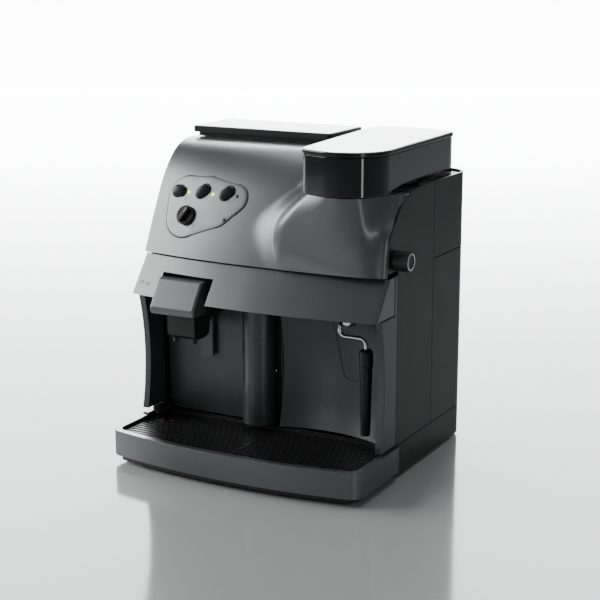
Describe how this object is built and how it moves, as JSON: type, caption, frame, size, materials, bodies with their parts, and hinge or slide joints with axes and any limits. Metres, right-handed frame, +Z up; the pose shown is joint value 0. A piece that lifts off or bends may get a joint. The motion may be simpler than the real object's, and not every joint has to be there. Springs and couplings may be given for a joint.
{
  "type": "bean-to-cup coffee machine",
  "caption": "Counter-top bean-to-cup coffee machine with hinged service door, sliding spout, steam wand, drip tray, lift-out water tank and bean hopper.",
  "frame": {"origin": "on the counter under the middle of the body", "axes": "+X to the machine's right seen from the front, -Y out of the front, +Z up"},
  "size_m": [0.3505, 0.337, 0.389],
  "materials": {
    "painted_graphite": "graphite metallic lacquer, satin",
    "graphite_plastic": "graphite moulding, satin to semi-gloss",
    "black_satin": "fine-grained satin black",
    "black_gloss": "polished black",
    "tinted_clear": "smoked clear moulding",
    "clear_tank": "clear moulding, slightly blue",
    "silver_plastic": "silver-grey moulding, satin",
    "rubber": "black rubber, matt",
    "bright_steel": "polished stainless steel",
    "hard_steel": "ground steel",
    "brass": "machined brass",
    "cast_aluminium": "cast aluminium, matt",
    "board_green": "circuit board with components",
    "lamp_green": "translucent lamp window",
    "ivory_plastic": "unpainted acetal",
    "float_red": "red moulding, matt",
    "chrome": "bright chrome"
  },
  "bodies": {
    "housing": {"base_pan": "black_satin", "rubber_feet": "rubber", "front_frame": "black_satin", "front_post_left": "graphite_plastic", "front_post_right": "graphite_plastic", "side_panel_left": "black_satin", "side_panel_right": "black_satin", "rear_panel_lower": "black_satin", "rear_panel_upper": "black_satin", "upper_front_shell": "painted_graphite", "top_deck": "black_satin", "hopper_deck": "black_satin", "control_panel": "painted_graphite", "indicator_lamps": "lamp_green", "control_board": "board_green", "dished_panel": "graphite_plastic", "steam_pipe_cover": "graphite_plastic", "hinge_pins": "hard_steel", "steam_valve": "brass", "bean_hopper": "tinted_clear", "hopper_funnel": "black_gloss", "grinder_housing": "black_satin", "grinder_motor": "cast_aluminium", "coffee_chute": "black_satin", "brew_group": "black_satin", "boiler": "cast_aluminium", "water_pump": "black_satin", "power_board": "board_green", "power_inlet": "black_satin"},
    "service_door": {"door_fascia": "painted_graphite", "door_panel": "graphite_plastic", "grip_column": "graphite_plastic", "door_liner": "black_satin"},
    "dispensing_head": {"head_cover": "painted_graphite", "head_block": "black_satin", "head_nozzles": "black_satin"},
    "dregs_bin": {"dregs_container": "black_satin"},
    "tray": {"drip_tray": "black_satin", "tray_fascia": "painted_graphite"},
    "grill": {"drip_grill": "black_satin"},
    "float": {"tray_float": "float_red"},
    "left_button": {"button_left": "black_gloss"},
    "middle_button": {"button_middle": "black_gloss"},
    "right_button": {"button_right": "black_gloss"},
    "cup_volume_knob": {"volume_knob": "black_satin"},
    "wand_ball": {"ball_seat": "bright_steel"},
    "steam_wand": {"steam_pipe": "bright_steel", "frother_collar": "black_satin", "frother_sleeve": "black_satin"},
    "steam_control": {"steam_knob": "black_satin", "knob_ring": "chrome", "valve_spindle": "hard_steel"},
    "hopper_cover": {"hopper_lid": "silver_plastic"},
    "grind_setting": {"grind_adjuster": "black_satin"},
    "burr": {"lower_burr": "hard_steel"},
    "piston": {"brew_piston": "ivory_plastic"},
    "gear": {"brew_gear": "ivory_plastic"},
    "tank": {"water_tank": "clear_tank"},
    "tank_lid": {"tank_cover": "silver_plastic"},
    "rocker": {"power_switch": "black_gloss"}
  },
  "joints": [
    {"name": "door_hinge", "type": "hinge", "parent": "housing", "child": "service_door", "pos_m": [-0.154, -0.084, 0], "axis": [0, 0, -1], "range_deg": [0, 95]},
    {"name": "head_slide", "type": "slide", "parent": "service_door", "child": "dispensing_head", "axis": [0, 0, -1], "range_m": [0, 0.03]},
    {"name": "dregs_lift", "type": "slide", "parent": "service_door", "child": "dregs_bin", "axis": [0, 0, 1], "range_m": [0, 0.01]},
    {"name": "tray_slide", "type": "slide", "parent": "housing", "child": "tray", "axis": [0, -1, 0], "range_m": [0, 0.17]},
    {"name": "grill_lift", "type": "slide", "parent": "tray", "child": "grill", "axis": [0, 0, 1], "range_m": [0, 0.005]},
    {"name": "float_rise", "type": "slide", "parent": "tray", "child": "float", "axis": [0, 0, 1], "range_m": [0, 0.006]},
    {"name": "left_button_press", "type": "slide", "parent": "housing", "child": "left_button", "axis": [0, 0.8965, -0.4431], "range_m": [0, 0.002], "stiffness_N_per_m": 250, "springref_m": -0.0004},
    {"name": "middle_button_press", "type": "slide", "parent": "housing", "child": "middle_button", "axis": [0, 0.8965, -0.4431], "range_m": [0, 0.002], "stiffness_N_per_m": 250, "springref_m": -0.0004},
    {"name": "right_button_press", "type": "slide", "parent": "housing", "child": "right_button", "axis": [0, 0.8965, -0.4431], "range_m": [0, 0.002], "stiffness_N_per_m": 250, "springref_m": -0.0004},
    {"name": "volume_turn", "type": "hinge", "parent": "housing", "child": "cup_volume_knob", "pos_m": [-0.1093, -0.08131, 0.2939], "axis": [0, -0.8965, 0.4431], "range_deg": [-150, 150]},
    {"name": "wand_swing", "type": "hinge", "parent": "housing", "child": "wand_ball", "pos_m": [0.096, -0.058, 0.186], "axis": [0, 1, 0], "range_deg": [-5, 45]},
    {"name": "wand_pull", "type": "hinge", "parent": "wand_ball", "child": "steam_wand", "pos_m": [0.096, -0.058, 0.186], "axis": [-1, 0, 0], "range_deg": [0, 24]},
    {"name": "steam_turn", "type": "hinge", "parent": "housing", "child": "steam_control", "pos_m": [0.163, -0.0735, 0.264], "axis": [1, 0, 0], "range_deg": [0, 330]},
    {"name": "hopper_lid_lift", "type": "slide", "parent": "housing", "child": "hopper_cover", "axis": [0, 0, 1], "range_m": [0, 0.06]},
    {"name": "grind_turn", "type": "hinge", "parent": "housing", "child": "grind_setting", "pos_m": [0.098, -0.012, 0.35], "axis": [0, 0, 1], "range_deg": [0, 300]},
    {"name": "burr_spin", "type": "hinge", "parent": "housing", "child": "burr", "pos_m": [0.098, -0.012, 0.3], "axis": [0, 0, 1], "continuous": true},
    {"name": "brew_gear_turn", "type": "hinge", "parent": "housing", "child": "gear", "pos_m": [-0.048, -0.012, 0.146], "axis": [1, 0, 0], "range_deg": [0, 180]},
    {"name": "piston_rise", "type": "slide", "parent": "housing", "child": "piston", "axis": [0, 0, 1], "range_m": [0, 0.0202]},
    {"name": "tank_lift", "type": "slide", "parent": "housing", "child": "tank", "axis": [0, 0, 1], "range_m": [0, 0.12]},
    {"name": "tank_cover_hinge", "type": "hinge", "parent": "tank", "child": "tank_lid", "pos_m": [-0.07, 0.105, 0.3783], "axis": [-1, 0, 0], "range_deg": [0, 75]},
    {"name": "rocker_tip", "type": "hinge", "parent": "housing", "child": "rocker", "pos_m": [-0.052, 0.146, 0.072], "axis": [1, 0, 0], "range_deg": [-10, 0]}
  ],
  "couplings": [
    {"joint": "piston_rise", "follows": "brew_gear_turn", "m_per_rad": 0.006366}
  ]
}
